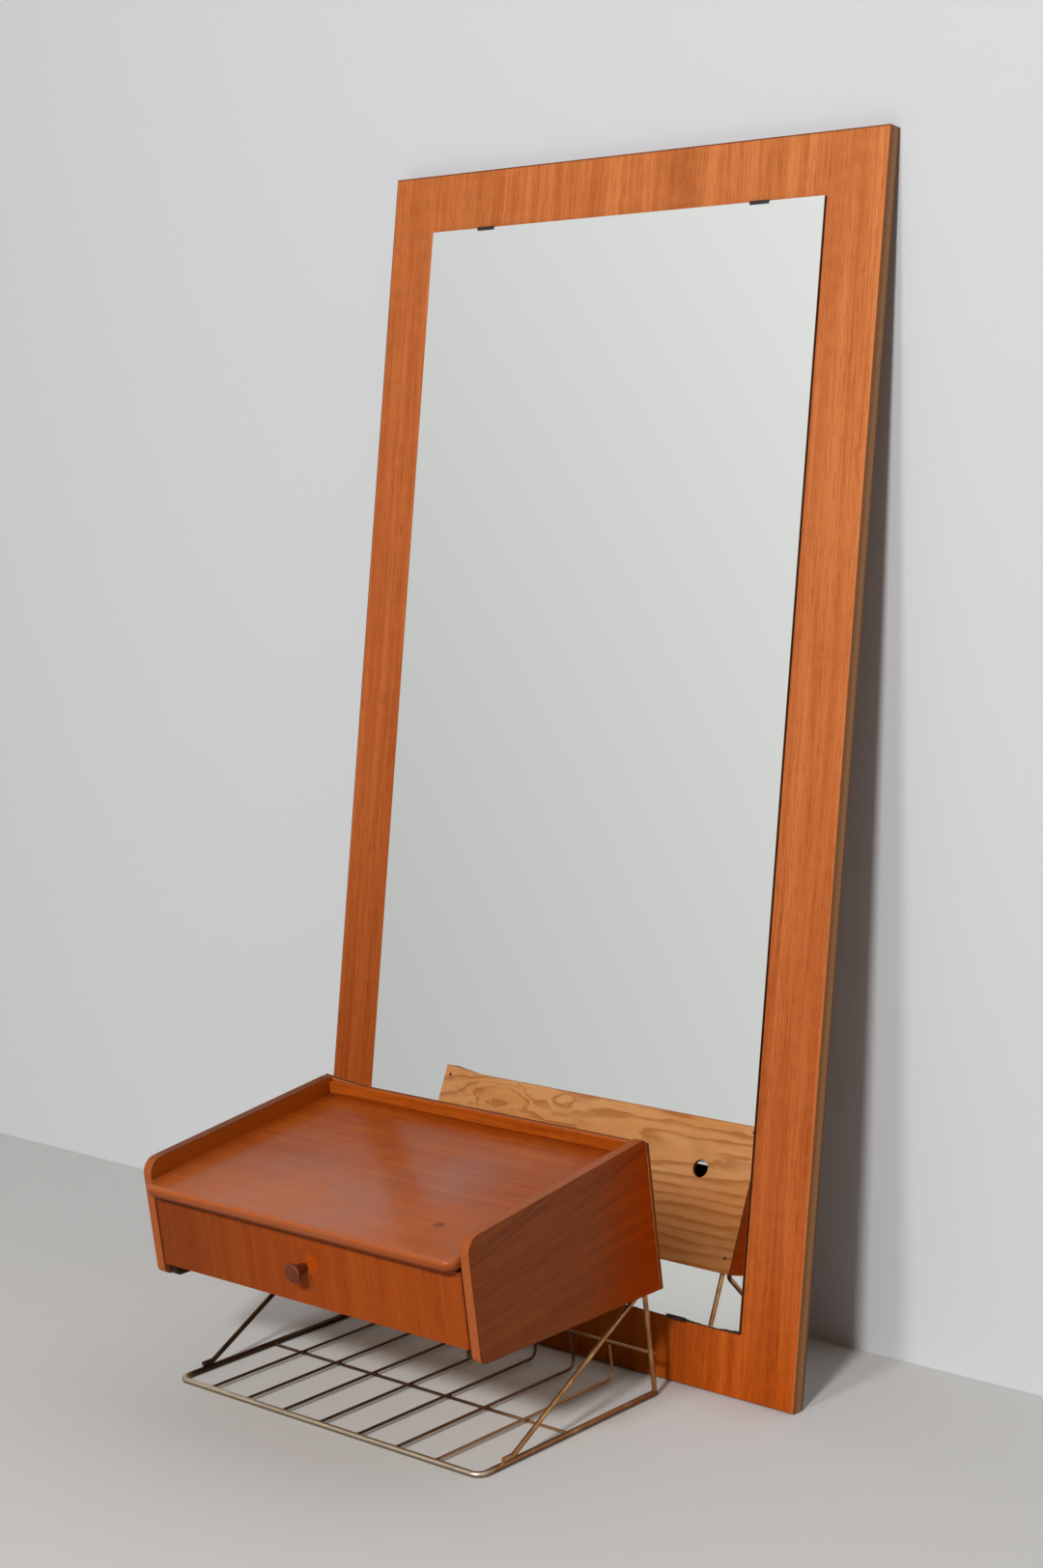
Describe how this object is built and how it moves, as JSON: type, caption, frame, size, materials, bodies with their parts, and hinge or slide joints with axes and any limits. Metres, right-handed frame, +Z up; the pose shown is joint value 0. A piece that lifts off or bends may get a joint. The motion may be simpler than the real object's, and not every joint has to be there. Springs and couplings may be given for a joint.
{
  "type": "mirror with telephone shelf",
  "caption": "Upright mirror on a flat veneered board, leaning back, with a small shelf box with a drawer and a wire magazine rack standing in front of it.",
  "frame": {"origin": "middle of the back bottom edge of the mirror board, where it stands on the floor", "axes": "+Z up, +Y towards the wall, +X along the floor edge of the mirror, to the right seen from the front"},
  "size_m": [0.623, 0.5136, 1.1902],
  "materials": {
    "veneer": "teak veneer, satin",
    "side_wood": "dark teak, satin",
    "top_wood": "teak, worn satin",
    "plywood": "bare pine plywood",
    "drawer_wood": "bare wood",
    "runner_wood": "dark stained",
    "brass_plate": "aged brass plating",
    "steel": "plain",
    "clip_metal": "dark",
    "silvered_glass": "silvered glass"
  },
  "bodies": {
    "mirror": {"mirror_board": "veneer", "mirror_glass": "silvered_glass", "clips_top": "clip_metal", "clips_bottom": "clip_metal"},
    "shelf": {"side_panel_left": "side_wood", "side_panel_right": "side_wood", "top_board": "top_wood", "back_gallery": "top_wood", "back_panel": "plywood", "back_nails": "steel", "runner_left": "runner_wood", "runner_right": "runner_wood", "runner_screws": "steel", "rack_rim": "brass_plate", "grid_wires": "brass_plate", "cross_wire": "brass_plate", "rear_wire": "brass_plate", "hanger_left": "brass_plate", "hanger_right": "brass_plate", "hanger_washers": "steel", "hanger_screws": "steel"},
    "drawer": {"drawer_front": "veneer", "drawer_side_left": "drawer_wood", "drawer_side_right": "drawer_wood", "drawer_back": "drawer_wood", "drawer_bottom": "drawer_wood", "knob": "side_wood", "knob_screw": "steel"}
  },
  "joints": [
    {"name": "shelf_lift", "type": "slide", "parent": "mirror", "child": "shelf", "axis": [0, 0, 1], "range_m": [0, 0.4]},
    {"name": "drawer_slide", "type": "slide", "parent": "shelf", "child": "drawer", "axis": [0, -1, 0], "range_m": [0, 0.17]}
  ]
}
